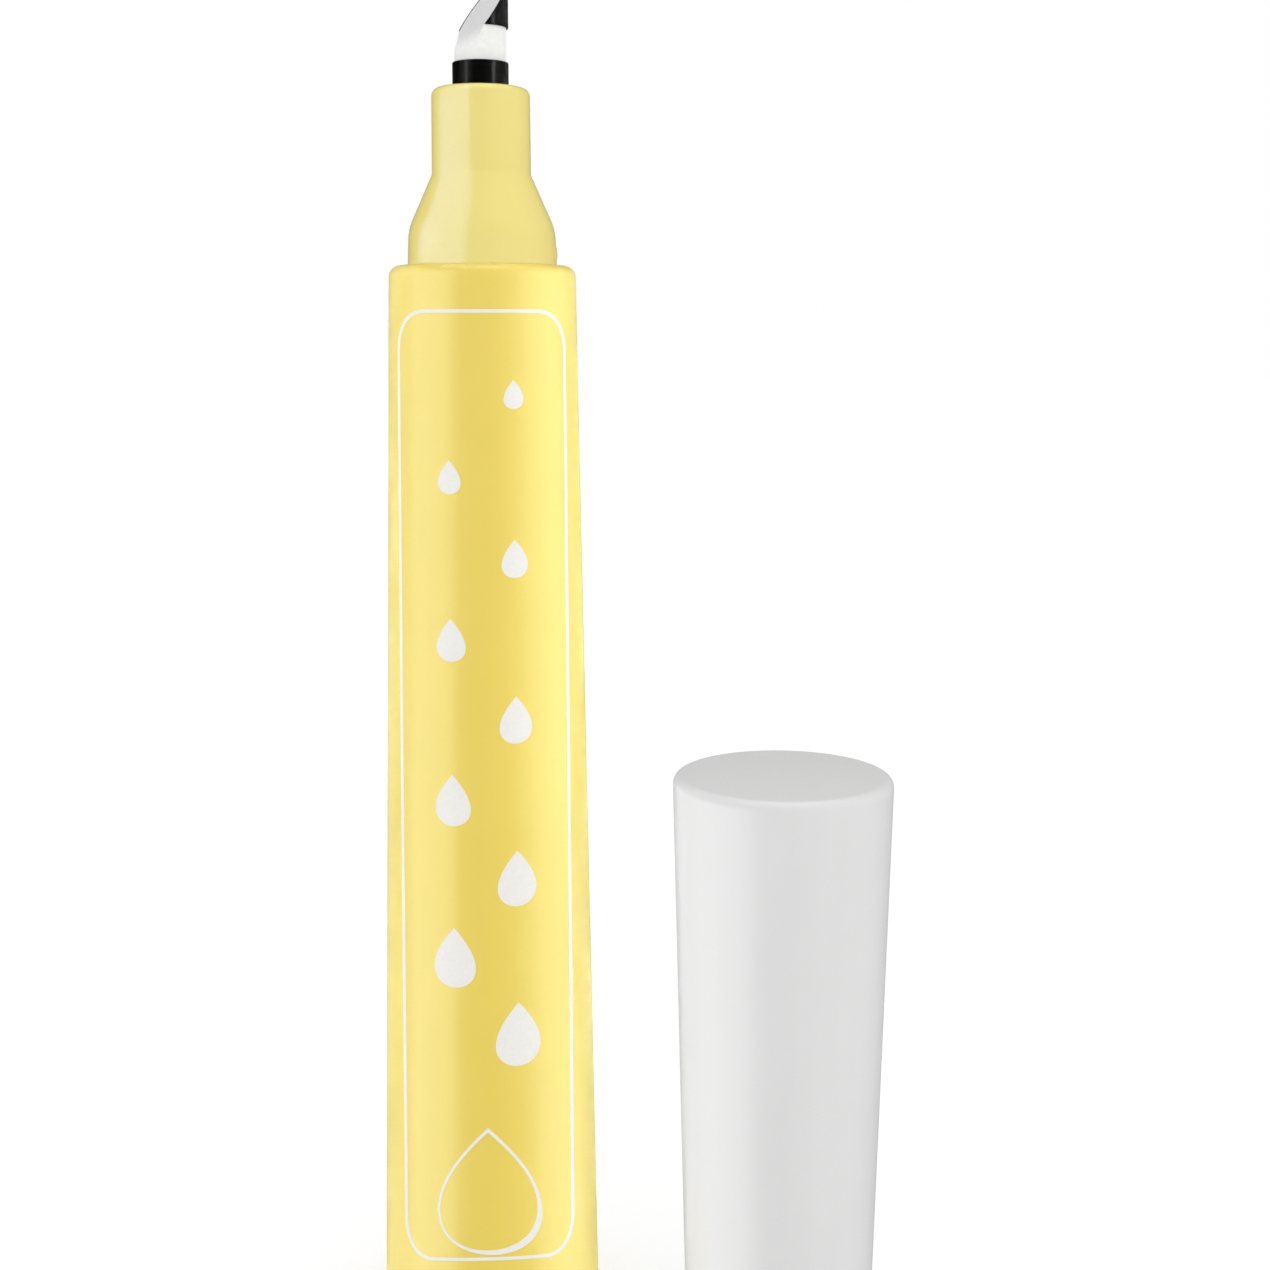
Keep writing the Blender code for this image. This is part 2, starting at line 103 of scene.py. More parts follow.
# Nib: the white core, and the black skins of its collar and sleeve
NIB_RADIUS = 0.001925
NIB_STEM_RADIUS = 0.0015
NIB_BODY_DEPTH = 0.0060
NIB_STEM_CHAMFER = 0.0003
NIB_EDGE_WIDTH = 0.0012
NIB_EDGE_DROP = 0.00040
NIB_EDGE_ROUNDNESS = 1.6
NIB_EDGE_FADE = 0.0006
NIB_EDGE_RINGS = 8
SKIN_INNER_RADIUS = 0.001945
SKIN_OUTER_RADIUS = 0.002085
SKIN_EDGE_FILLET = 0.00006
CUT_ABOVE_NECK = 0.00535
CUT_SLOPE = math.radians(54.5)
CUT_BEARING = math.radians(35.5)
CUT_NORMAL = (
    -math.sin(CUT_SLOPE) * math.cos(CUT_BEARING),
    -math.sin(CUT_SLOPE) * math.sin(CUT_BEARING),
    math.cos(CUT_SLOPE),
)
# Painted shade on the nib's cut face: grey where the surface faces along the cut, fading out over
# a height below the sleeve's foot
PAINTED_CUT_SHADE_FROM = 0.86
PAINTED_CUT_SHADE_FADE_HEIGHT = 0.0018
# Painted shade: the nib's core is painted darker just above the collar
NIB_FOOT_PAINTED_SHADE = 0.90
NIB_FOOT_PAINTED_SHADE_HEIGHT = 0.0009

# Cap
CAP_END_RADIUS = 0.0082
CAP_END_FILLET = 0.0007
CAP_END_WALL = 0.0018
CAP_BORE_RADIUS = 0.00563
CAP_MOUTH_FILLET = 0.00025
CAP_MOUTH_CHAMFER = 0.0002
CAP_STEP_Z = 0.0075
CAP_HOLD_RADIUS = 0.00523
CAP_BORE_DRAFT = 0.0002
CAP_GROOVE_RADIUS = 0.00572

# Cap liner
LINER_FLANGE_RADIUS = 0.00555
LINER_FLANGE_THICKNESS = 0.0008
LINER_BORE_RADIUS = 0.003805
LINER_SEAL_RADIUS = 0.003735
LINER_SEAL_HEIGHT = 0.0008
LINER_WALL = 0.0009
LINER_LEAD_IN = 0.0005
LINER_CHAMBER_RADIUS = 0.0032
LINER_TUBE_END = 0.01325
LINER_RIB_COUNT = 6
LINER_RIB_WIDTH = 0.0007
LINER_RIB_RADIUS = 0.0049
LINER_RIB_TOP = 0.01695

# Print, measured over the barrel's surface from the print's own middle
INK_THICKNESS = 0.000012
PRINT_TURN = math.radians(3.1)
FRAME_HALF_WIDTH = 0.00745
FRAME_TOP_Z = 0.07988
FRAME_BOTTOM_Z = 0.00870
FRAME_CORNER_RADIUS = 0.0030
FRAME_SIDE_LINE = 0.00037
FRAME_END_LINE = 0.00025
PRINT_ARCH = 0.00135
PRINT_ARCH_POWER = 8
DROP_BELLY = 1.30
DROP_Z = 0.0142
DROP_HEIGHT = 0.0098
DROP_RADIUS = 0.0040
DROP_LINE = 0.00019
DROP_POINT_LINE = 0.00034
DROP_SHADOW = 0.00036
DROP_SHADOW_BEARING = math.radians(-42.0)
TRAIL_TOP_Z = 0.0738
TRAIL_FOOT_Z = 0.0262
TRAIL_SWAY = 0.0024
TRAIL_COUNT = 9
TRAIL_FIRST_RADIUS = 0.00075
TRAIL_LAST_RADIUS = 0.00175
TRAIL_DROP_SLENDERNESS = 2.8

# How finely the surfaces are cut
BODY_SIDES = 192
INNER_SIDES = 96
NIB_SIDES = 128
FILLET_STEPS = 8
CORNER_STEPS = 14
EDGE_STEPS = 56
DROP_STEPS = 96
PATCH_RINGS = 5
SHARP_ANGLE = math.radians(30.0)
MERGE_DISTANCE = 0.0000001
FILLET_LIMIT_SHARE = 0.48

# Finishes, with noise scales per metre and bump heights in metres
NOISE_LOW = 0.3
NOISE_HIGH = 0.7
FLOW_SCALE = 900.0
FLOW_DETAIL = 3.0
FLOW_STRETCH = (1.0, 1.0, 0.08)
CLOUD_SCALE = 260.0
CLOUD_DETAIL = 2.0
CLOUD_SHARE = 0.5
PEEL_SCALE = 5200.0
PEEL_DETAIL = 2.0
MOULDED_TINT = 0.012
MOULDED_UNEVENNESS = 0.015
NIB_CELL_SCALE = 9000.0
NIB_CELL_HEIGHT = 0.00001
NIB_CELL_STRENGTH = 0.6
NIB_PORE_SCALE = 2600.0
NIB_PORE_DETAIL = 4.0
NIB_PORE_HEIGHT = 0.000015
NIB_PORE_STRENGTH = 0.7
NIB_TINT = 0.03
NIB_ROUGHNESS = (0.6, 0.8)
NIB_SPECULAR = 0.15
SKIN_GRAIN = dict(
    scale=3800.0,
    detail=2.0,
    stretch=(1.0, 1.0, 0.12),
    tint=0.25,
    roughness=(0.18, 0.26),
    height=0.000002,
    specular=0.03,
)
INK_GRAIN = dict(
    scale=3200.0,
    detail=3.0,
    stretch=(1.0, 1.0, 1.0),
    tint=0.02,
    roughness=(0.34, 0.44),
    height=0.000002,
    specular=0.2,
)
FIBRE_GRAIN = dict(
    scale=7000.0,
    detail=4.0,
    stretch=(1.0, 1.0, 0.05),
    tint=0.10,
    roughness=(0.85, 0.97),
    height=0.00003,
    specular=0.5,
)

# Camera, in the photograph's frame of 1270 pixels each way
IMAGE_SIZE = 1270
FOCAL_PIXELS = 1750
HORIZON_ROW = 335
AXIS_ROW = 546
SENSOR_WIDTH_MM = 36.0
CAMERA_PLACE = (0.01146, -0.13305, 0.07805)
CLIP_START = 0.01

# World: what gloss reflects, by bearing in degrees from the front toward the right
REFLECTED_LEVELS = [
    (-180, 0.12),
    (-150, 0.10),
    (-28, 0.06),
    (12, 0.05),
    (40, 0.8),
    (60, 0.8),
    (90, 0.9),
    (120, 0.35),
    (150, 0.15),
    (180, 0.12),
]

# World: the ring of light round the horizon, which fades upward into the sky's level
RING_SHARES = [
    (-180, 1.0),
    (-150, 0.84),
    (-50, 0.84),
    (-20, 0.94),
    (10, 1.02),
    (60, 0.94),
    (180, 1.0),
]
RING_LEVEL = 1.46
RING_FADE_FROM = 0.3
RING_FADE_TO = 0.7
SKY_LEVEL = 0.91
WHITE = (1.0, 1.0, 1.0, 1.0)

# Floor
FLOOR_SIZE = 3.0
FLOOR_SEGMENTS = 8
FLOOR_COLOUR = (0.80, 0.80, 0.80)
FLOOR_GLOW = 0.27
FLOOR_GRAIN_SCALE = 40.0
FLOOR_GRAIN_DETAIL = 2.0
FLOOR_TINT = 0.01

# Lamps, with bearings and widths in degrees as seen from the pen
SOFTBOX_DISTANCE = 0.5
SOFTBOX_TOP_Z = 0.56
SOFTBOX_HEIGHT = 1.0
CAP_SOFTBOX_TOP_Z = 0.075
CEILING_Z = 0.7
CEILING_SIZE = 0.7
CEILING_LEVEL = 2.0
BARREL_LAMPS = [
    dict(name="left_panel", bearing=-62, width=58, level=3.9, tint=(0.93, 1.0, 0.82)),
    dict(name="left_fade", bearing=-118, width=56, level=1.9, tint=(1.0, 1.0, 0.6)),
    dict(name="left_rim", bearing=-162, width=36, level=0.50, tint=(0.92, 1.0, 0.45)),
    dict(name="left_glow", bearing=-92, width=60, level=0.30, gloss=False),
    dict(name="front_glow", bearing=0, width=60, level=0.12, gloss=False),
    dict(name="right_softbox", bearing=86, width=58, level=2.5, tint=(0.92, 1.0, 0.65)),
    dict(name="right_fill", bearing=99, width=120, level=1.4, tint=(0.88, 1.0, 0.64)),
    dict(name="right_rim", bearing=164, width=32, level=0.4, tint=(0.88, 1.0, 0.40)),
    dict(name="right_glow", bearing=96, width=60, level=0.60, tint=(0.97, 1.0, 0.9), gloss=False),
]
NECK_LAMPS = [
    dict(
        name="neck_panel",
        bearing=-65,
        width=86,
        level=4.1,
        tint=(0.49, 0.70, 1.0),
        height=2.6,
        top=1.3,
    ),
    dict(name="neck_glow", bearing=-115, width=60, level=0.28, gloss=False),
]
NIB_LAMPS = [
    dict(name="nib_left_panel", bearing=-62, width=58, level=2.6),
    dict(name="nib_left_strip", bearing=-56, width=9, level=24.0),
    dict(name="nib_right_strip", bearing=61, width=9, level=40.0),
    dict(name="nib_right_fill", bearing=104, width=110, level=1.2),
]
CAP_LAMPS = [
    dict(name="cap_left_panel", bearing=-70, width=72, level=3.8, top=CAP_SOFTBOX_TOP_Z),
    dict(name="cap_left_fade", bearing=-130, width=50, level=1.2, top=CAP_SOFTBOX_TOP_Z),
    dict(name="cap_fill", bearing=-118, width=34, level=0.95, gloss=False),
]

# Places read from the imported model
neck_low, neck_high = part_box("neck")
collar_low, collar_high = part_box("nib_collar")
sleeve_low, sleeve_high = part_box("nib_sleeve")
core_low, core_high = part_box("nib_core")
shell_low, shell_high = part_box("cap_shell")
liner_low, liner_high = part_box("cap_liner")
plug_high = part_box("rear_plug")[1]
barrel_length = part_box("barrel")[1].z
seat_z = barrel_length + SEAT_GAP
neck_top_z = neck_high.z
inner_top_radius = LIP_BORE_RADIUS + LIP_OVERHANG
inner_base_radius = BASE_RADIUS - BARREL_BASE_WALL
cap_centre = (shell_low + shell_high) / 2
cap_axis = (cap_centre.x, cap_centre.y)


def barrel_radius(z):
    """The barrel's outer radius at a height above its base."""
    return BASE_RADIUS + (SHOULDER_RADIUS - BASE_RADIUS) * z / barrel_length


def barrel_bore(z):
    """The barrel's inner radius at a height between the plug's seat and the lip."""
    share = z / (barrel_length - LIP_HEIGHT)
    return inner_base_radius + (inner_top_radius - inner_base_radius) * share


def rounded(corners):
    """Points of an outline whose corners (x, z, radius) are rounded by arcs."""
    points = []
    for index, (x, z, radius) in enumerate(corners):
        corner = Vector((x, z))
        if radius == 0:
            points.append(corner)
            continue
        before = Vector(corners[index - 1][:2]) - corner
        after = Vector(corners[(index + 1) % len(corners)][:2]) - corner
        half_angle = before.angle(after) / 2
        longest_reach = FILLET_LIMIT_SHARE * min(before.length, after.length)
        reach = min(radius / math.tan(half_angle), longest_reach)
        arc_radius = reach * math.tan(half_angle)
        toward_centre = (before.normalized() + after.normalized()).normalized()
        centre = corner + toward_centre * (arc_radius / math.sin(half_angle))
        start = corner + before.normalized() * reach - centre
        end = corner + after.normalized() * reach - centre
        start_angle = math.atan2(start.y, start.x)
        sweep = math.remainder(math.atan2(end.y, end.x) - start_angle, math.tau)
        for step in range(FILLET_STEPS + 1):
            angle = start_angle + sweep * step / FILLET_STEPS
            points.append(centre + Vector((math.cos(angle), math.sin(angle))) * arc_radius)
    return points


def turned(points, sides):
    """A closed surface turned about Z from the points (x, z) of its section.

    A section that starts on the axis ends there too, and any other closes on itself.
    """
    shape = bmesh.new()
    rings = []
    for radius, z in points:
        if radius == 0:
            rings.append([shape.verts.new((0, 0, z))] * sides)
            continue
        ring = []
        for side in range(sides):
            angle = math.tau * side / sides
            ring.append(shape.verts.new((radius * math.cos(angle), radius * math.sin(angle), z)))
        rings.append(ring)
    pairs = list(zip(rings, rings[1:]))
    if points[0][0] > 0:
        pairs.append((rings[-1], rings[0]))
    for upper, lower in pairs:
        for side in range(sides):
            after = (side + 1) % sides
            corners = [upper[side], lower[side], lower[after], upper[after]]
            shape.faces.new(list(dict.fromkeys(corners)))
    bmesh.ops.recalc_face_normals(shape, faces=shape.faces)
    return shape


def piece(name, shape, material, place=(0, 0, 0)):
    """The object made from a bmesh, moved to its place and shaded smooth."""
    bmesh.ops.translate(shape, vec=place, verts=shape.verts)
    mesh = bpy.data.meshes.new(name)
    shape.to_mesh(mesh)
    shape.free()
    mesh.shade_smooth()
    mesh.set_sharp_from_angle(angle=SHARP_ANGLE)
    mesh.materials.append(material)
    made = bpy.data.objects.new(name, mesh)
    bpy.context.scene.collection.objects.link(made)
    return made


def stand_for(made, node, body):
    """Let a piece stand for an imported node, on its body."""
    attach(made, body)
    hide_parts(node)


def new_material(name):
    """A new material, and its nodes."""
    material = bpy.data.materials.new(name)
    material.use_nodes = True
    return material, material.node_tree


def feed(tree, socket, value):
    """Link a socket to another, or set it to a plain value."""
    if isinstance(value, bpy.types.NodeSocket):
        tree.links.new(value, socket)
    else:
        socket.default_value = value


def add(tree, kind, **inputs):
    """A node of a kind, with its inputs fed by name, where _ stands for a space."""
    made = tree.nodes.new(kind)
    for name, value in inputs.items():
        feed(tree, made.inputs[name.replace("_", " ")], value)
    return made


def calculated(tree, operation, first, second):
    """The number that an operation makes of two others."""
    made = tree.nodes.new("ShaderNodeMath")
    made.operation = operation
    feed(tree, made.inputs[0], first)
    feed(tree, made.inputs[1], second)
    return made.outputs["Value"]


def multiplied(tree, colour, share):
    """A colour times a share, or times another colour channel by channel."""
    made = tree.nodes.new("ShaderNodeVectorMath")
    made.operation = "MULTIPLY"
    tree.links.new(colour, made.inputs[0])
    tree.links.new(share, made.inputs[1])
    return made.outputs["Vector"]


def blended(tree, kind, share, first, second):
    """The mix of two numbers, kind FLOAT, or two colours, kind RGBA, by the second's share."""
    made = tree.nodes.new("ShaderNodeMix")
    made.data_type = kind
    feed(tree, made.inputs["Factor"], share)
    feed(tree, made.inputs["A"], first)
    feed(tree, made.inputs["B"], second)
    return made.outputs["Result"]


def ranged(tree, value, from_low, from_high, to_low=0.0, to_high=1.0, shape="LINEAR"):
    """A value's run between two limits, spread between two others and held at their ends."""
    made = add(
        tree,
        "ShaderNodeMapRange",
        Value=value,
        From_Min=from_low,
        From_Max=from_high,
        To_Min=to_low,
        To_Max=to_high,
    )
    made.interpolation_type = shape
    return made.outputs["Result"]


def ramp(tree, share, stops):
    """The colour at a share along a ramp, whose stops are positions and colours."""
    made = tree.nodes.new("ShaderNodeValToRGB")
    tree.links.new(share, made.inputs["Fac"])
    elements = made.color_ramp.elements
    middle = 0.5
    while len(elements) < len(stops):
        elements.new(middle)
    for element, (position, colour) in zip(elements, stops):
        element.position = position
        element.color = (*colour, 1.0)
    return made.outputs["Color"]


def noise(tree, scale, detail, stretch=(1.0, 1.0, 1.0)):
    """Noise in the object's own coordinates, with its features' size set by scale, per metre."""
    place = tree.nodes.new("ShaderNodeTexCoord")
    mapped = add(tree, "ShaderNodeMapping", Vector=place.outputs["Object"], Scale=stretch)
    made = add(
        tree,
        "ShaderNodeTexNoise",
        Vector=mapped.outputs["Vector"],
        Scale=scale,
        Detail=detail,
    )
    return made.outputs["Fac"]


def between(tree, share, low, high):
    """A number that varies with noise from low to high."""
    return ranged(tree, share, NOISE_LOW, NOISE_HIGH, low, high)


def tinted(tree, share, colour, spread):
    """A colour that varies with noise by a small share about its own value."""
    dark = [value * (1 - spread) for value in colour]
    light = [value * (1 + spread) for value in colour]
    return ramp(tree, share, [(NOISE_LOW, dark), (NOISE_HIGH, light)])


def bumped(tree, share, height, strength=1.0, under=None):
    """A bump of a height in metres, over another bump or the bare surface."""
    made = add(tree, "ShaderNodeBump", Height=share, Distance=height, Strength=strength)
    if under is not None:
        tree.links.new(under, made.inputs["Normal"])
    return made.outputs["Normal"]


def finished(material, colour, roughness, normal, specular):
    """The material, once its shader has all that was worked out for it."""
    tree = material.node_tree
    shader = tree.nodes["Principled BSDF"]
    tree.links.new(colour, shader.inputs["Base Color"])
    tree.links.new(roughness, shader.inputs["Roughness"])
    tree.links.new(normal, shader.inputs["Normal"])
    shader.inputs["Specular IOR Level"].default_value = specular
    return material


def moulded_plastic(name, colour, roughness, specular, peel):
    """Satin moulded plastic: faint flow along its length, uneven gloss and a fine peel."""
    material, tree = new_material(name)
    flow = noise(tree, FLOW_SCALE, FLOW_DETAIL, FLOW_STRETCH)
    cloud = noise(tree, CLOUD_SCALE, CLOUD_DETAIL)
    grain = noise(tree, PEEL_SCALE, PEEL_DETAIL)
    both = blended(tree, "FLOAT", CLOUD_SHARE, flow, cloud)
    return finished(
        material,
        tinted(tree, both, colour, MOULDED_TINT),
        between(tree, cloud, roughness - MOULDED_UNEVENNESS, roughness + MOULDED_UNEVENNESS),
        bumped(tree, grain, peel),
        specular,
    )


def grained(name, colour, scale, detail, stretch, tint, roughness, height, specular):
    """A surface with one grain, which varies its colour, its gloss and its height."""
    material, tree = new_material(name)
    grain = noise(tree, scale, detail, stretch)
    return finished(
        material,
        tinted(tree, grain, colour, tint),
        between(tree, grain, *roughness),
        bumped(tree, grain, height),
        specular,
    )


def porous_plastic(name, colour, painted_cut_shade_colour):
    """The sintered nib: white grains with pores between them, with painted shade.

    The cut face is painted grey where it faces along the cut, as painted shade that fades out
    toward its foot, and the core is painted a little greyer by the collar, as painted shade.
    """
    material, tree = new_material(name)
    place = tree.nodes.new("ShaderNodeTexCoord")
    way = add(tree, "ShaderNodeSeparateXYZ", Vector=place.outputs["Object"])
    z = way.outputs["Z"]
    # Painted shade: the cut face is painted grey where its normal points along the cut's normal,
    # fading out below the sleeve
    facing = tree.nodes.new("ShaderNodeVectorMath")
    facing.operation = "DOT_PRODUCT"
    tree.links.new(place.outputs["Normal"], facing.inputs[0])
    facing.inputs[1].default_value = CUT_NORMAL
    cut = ranged(tree, facing.outputs["Value"], PAINTED_CUT_SHADE_FROM, 1.0)
    painted_shade_fade = ranged(tree, z, sleeve_low.z - PAINTED_CUT_SHADE_FADE_HEIGHT, sleeve_low.z, shape="SMOOTHSTEP")
    # Painted shade: the core is painted darker just above the collar, where the collar shades it
    foot = ranged(tree, z, collar_high.z, collar_high.z + NIB_FOOT_PAINTED_SHADE_HEIGHT, NIB_FOOT_PAINTED_SHADE, 1.0)
    cells = add(
        tree,
        "ShaderNodeTexVoronoi",
        Vector=place.outputs["Object"],
        Scale=NIB_CELL_SCALE,
    )
    pores = noise(tree, NIB_PORE_SCALE, NIB_PORE_DETAIL)
    colour_with_painted_shade = blended(
        tree,
        "RGBA",
        calculated(tree, "MULTIPLY", cut, painted_shade_fade),
        tinted(tree, pores, colour, NIB_TINT),
        tinted(tree, pores, painted_cut_shade_colour, NIB_TINT),
    )
    grains = bumped(tree, cells.outputs["Distance"], NIB_CELL_HEIGHT, NIB_CELL_STRENGTH)
    return finished(
        material,
        multiplied(tree, colour_with_painted_shade, foot),
        between(tree, pores, *NIB_ROUGHNESS),
        bumped(tree, pores, NIB_PORE_HEIGHT, NIB_PORE_STRENGTH, grains),
        NIB_SPECULAR,
    )


yellow = moulded_plastic(
    "barrel_yellow",
    colour=(0.80, 0.62, 0.110),
    roughness=0.30,
    specular=0.5,
    peel=0.0000012,
)
pale_yellow = moulded_plastic(
    "neck_yellow",
    colour=(0.87, 0.735, 0.232),
    roughness=0.20,
    specular=0.40,
    peel=0.0000010,
)
white = moulded_plastic(
    "cap_white",
    colour=(0.745, 0.745, 0.742),
    roughness=0.36,
    specular=0.40,
    peel=0.0000012,
)
natural = moulded_plastic(
    "liner_natural",
    colour=(0.74, 0.74, 0.71),
    roughness=0.42,
    specular=0.4,
    peel=0.0000010,
)
film = moulded_plastic(
    "reservoir_film",
    colour=(0.70, 0.72, 0.72),
    roughness=0.22,
    specular=0.5,
    peel=0.0000040,
)
fibre = grained("reservoir_fibre", (0.78, 0.77, 0.72), **FIBRE_GRAIN)
# The nib's grey cut face is painted shade
nib_white = porous_plastic("nib_white", (0.895, 0.895, 0.88), painted_cut_shade_colour=(0.70, 0.70, 0.70))
nib_black = grained("nib_black", (0.003, 0.003, 0.003), **SKIN_GRAIN)
ink = grained("printed_ink", (0.80, 0.78, 0.75), **INK_GRAIN)


def make_barrel():
    """The tapered tube, with its lip at the shoulder and its open base."""
    seat = PLUG_FLANGE_THICKNESS
    seat_radius = inner_base_radius + PLUG_SEAT_LEDGE
    lip_z = barrel_length - LIP_HEIGHT
    outline = [
        (LIP_BORE_RADIUS, barrel_length, MOUTH_EDGE),
        (SHOULDER_RADIUS, barrel_length, SHOULDER_FILLET),
        (BASE_RADIUS, 0, BASE_FILLET),
        (seat_radius, 0, MOUTH_EDGE),
        (seat_radius, seat, 0),
        (barrel_bore(seat), seat, 0),
        (inner_top_radius, lip_z, 0),
        (LIP_BORE_RADIUS, lip_z, 0),
    ]
    made = piece("barrel_shell", turned(rounded(outline), BODY_SIDES), yellow)
    stand_for(made, "barrel", "pen")
    return made


def make_rear_plug():
    """The plug in the base: a dimpled flange, and a cup round the reservoir's end."""
    flange_top = PLUG_FLANGE_THICKNESS - PLUG_GAP
    outline = [
        (0, PLUG_FLOOR_THICKNESS, 0),
        (PLUG_CUP_RADIUS, PLUG_FLOOR_THICKNESS, 0),
        (PLUG_CUP_RADIUS, plug_high.z, 0),
        (PLUG_OUTER_RADIUS, plug_high.z, PLUG_EDGE),
        (barrel_bore(flange_top) - PLUG_GAP, flange_top, 0),
        (PLUG_FLANGE_RADIUS, flange_top, 0),
        (PLUG_FLANGE_RADIUS, 0, PLUG_EDGE),
        (PLUG_DIMPLE_RADIUS, 0, PLUG_EDGE),
        (PLUG_DIMPLE_RADIUS - PLUG_DIMPLE_DEPTH, PLUG_DIMPLE_DEPTH, PLUG_EDGE),
        (0, PLUG_DIMPLE_DEPTH, 0),
    ]
    made = piece("base_plug", turned(rounded(outline), INNER_SIDES), yellow)
    stand_for(made, "rear_plug", "pen")


def with_rows(points, low, high, step):
    """The same section, with rows added where its straight runs pass between two heights."""
    made = []
    for index, point in enumerate(points):
        made.append(point)
        after = points[(index + 1) % len(points)]
        top = min(point.y, high)
        bottom = max(after.y, low)
        count = int((top - bottom) / step)
        for row in range(1, count + 1):
            share = (point.y - top + (top - bottom) * row / (count + 1)) / (point.y - after.y)
            made.append(point.lerp(after, share))
    return made


def make_neck():
    """The front section, with its flange, cone, tube and three snap lugs."""
    height = neck_top_z - seat_z
    cone_top = FLANGE_HEIGHT + CONE_HEIGHT
    bore = SKIN_OUTER_RADIUS + COLLAR_GAP
    spigot_foot = neck_low.z - seat_z
    stem_bore_z = height - STEM_BORE_DEPTH
    outline = [
        (bore, height, COLLAR_BORE_EDGE),
        (NECK_TIP_RADIUS, height, NECK_TIP_FILLET),
        (NECK_ROOT_RADIUS, cone_top, CONE_ROOT_FILLET),
        (FLANGE_TOP_RADIUS, FLANGE_HEIGHT, FLANGE_FILLET),
        (FLANGE_RADIUS, 0, FLANGE_FOOT_FILLET),
        (SPIGOT_RADIUS, 0, 0),
        (SPIGOT_RADIUS, spigot_foot, 0),
        (SPIGOT_RADIUS - SPIGOT_WALL, spigot_foot, 0),
        (SPIGOT_RADIUS - SPIGOT_WALL, stem_bore_z - CHAMBER_CONE_HEIGHT, 0),
        (STEM_BORE_RADIUS, stem_bore_z, 0),
        (STEM_BORE_RADIUS, height - NIB_BODY_DEPTH, 0),
        (bore, height - NIB_BODY_DEPTH, 0),
    ]
    lug_low = LUG_CENTRE_ABOVE_SEAT - LUG_HEIGHT / 2
    lug_high = LUG_CENTRE_ABOVE_SEAT + LUG_HEIGHT / 2
    section = with_rows(rounded(outline), lug_low, lug_high, LUG_ROW_HEIGHT)
    shape = turned(section, BODY_SIDES)
    for vertex in shape.verts:
        radius = math.hypot(vertex.co.x, vertex.co.y)
        if radius < SPIGOT_RADIUS + MERGE_DISTANCE:
            continue
        bearing = math.atan2(vertex.co.y, vertex.co.x)
        way_round = math.remainder(bearing, math.tau / LUG_COUNT) * radius / (LUG_WIDTH / 2)
        way_up = (vertex.co.z - LUG_CENTRE_ABOVE_SEAT) / (LUG_HEIGHT / 2)
        rise = max(0.0, 1 - way_round ** 2 - way_up ** 2) ** LUG_SOFTNESS
        grown = 1 + LUG_PROUD * rise / radius
        vertex.co.x *= grown
        vertex.co.y *= grown
    made = piece("front_section", shape, pale_yellow, (0, 0, seat_z))
    stand_for(made, "neck", "pen")
    return made


def cut_on_slant(shape):
    """Cut away what lies above the slanted plane, and return the edges round the cut."""
    cut = bmesh.ops.bisect_plane(
        shape,
        geom=[*shape.verts, *shape.edges, *shape.faces],
        plane_co=(0, 0, neck_top_z + CUT_ABOVE_NECK),
        plane_no=CUT_NORMAL,
        clear_outer=True,
    )
    return [item for item in cut["geom_cut"] if isinstance(item, bmesh.types.BMEdge)]


def close_worn_cut(shape, rim):
    """Close a cut with a face whose edge is worn round where no sleeve covers it."""
    loop = [rim[0].verts[0], rim[0].verts[1]]
    left = set(rim[1:])
    while len(loop) < len(rim):
        after = next(edge for edge in left if loop[-1] in edge.verts)
        left.remove(after)
        loop.append(after.other_vert(loop[-1]))
    centre = Vector((0, 0, neck_top_z + CUT_ABOVE_NECK))
    rims = [vertex.co.copy() for vertex in loop]
    drops = []
    for place in rims:
        bare = min(1.0, max(0.0, (sleeve_low.z - place.z) / NIB_EDGE_FADE))
        drops.append(NIB_EDGE_DROP * bare * bare * (3 - 2 * bare))
    for vertex, drop in zip(loop, drops):
        vertex.co.z -= drop
    rings = [loop]
    for step in range(1, NIB_EDGE_RINGS + 1):
        inset = NIB_EDGE_WIDTH * step / NIB_EDGE_RINGS
        outward = 1 - step / NIB_EDGE_RINGS
        fall = 1 - (1 - outward ** NIB_EDGE_ROUNDNESS) ** (1 / NIB_EDGE_ROUNDNESS)
        ring = []
        for place, drop in zip(rims, drops):
            inward = place + (centre - place).normalized() * inset
            ring.append(shape.verts.new(inward - Vector((0, 0, drop * fall))))
        rings.append(ring)
    rings.append([shape.verts.new(centre)] * len(loop))
    for outer, inner in zip(rings, rings[1:]):
        for index in range(len(loop)):
            after = (index + 1) % len(loop)
            corners = [outer[index], outer[after], inner[after], inner[index]]
            shape.faces.new(list(dict.fromkeys(corners)))
    bmesh.ops.recalc_face_normals(shape, faces=shape.faces)


def skin_section(top, foot):
    """The section of a thin skin round the nib, between two heights."""
    return rounded([
        (SKIN_INNER_RADIUS, top, 0),
        (SKIN_OUTER_RADIUS, top, SKIN_EDGE_FILLET),
        (SKIN_OUTER_RADIUS, foot, SKIN_EDGE_FILLET),
        (SKIN_INNER_RADIUS, foot, 0),
    ])


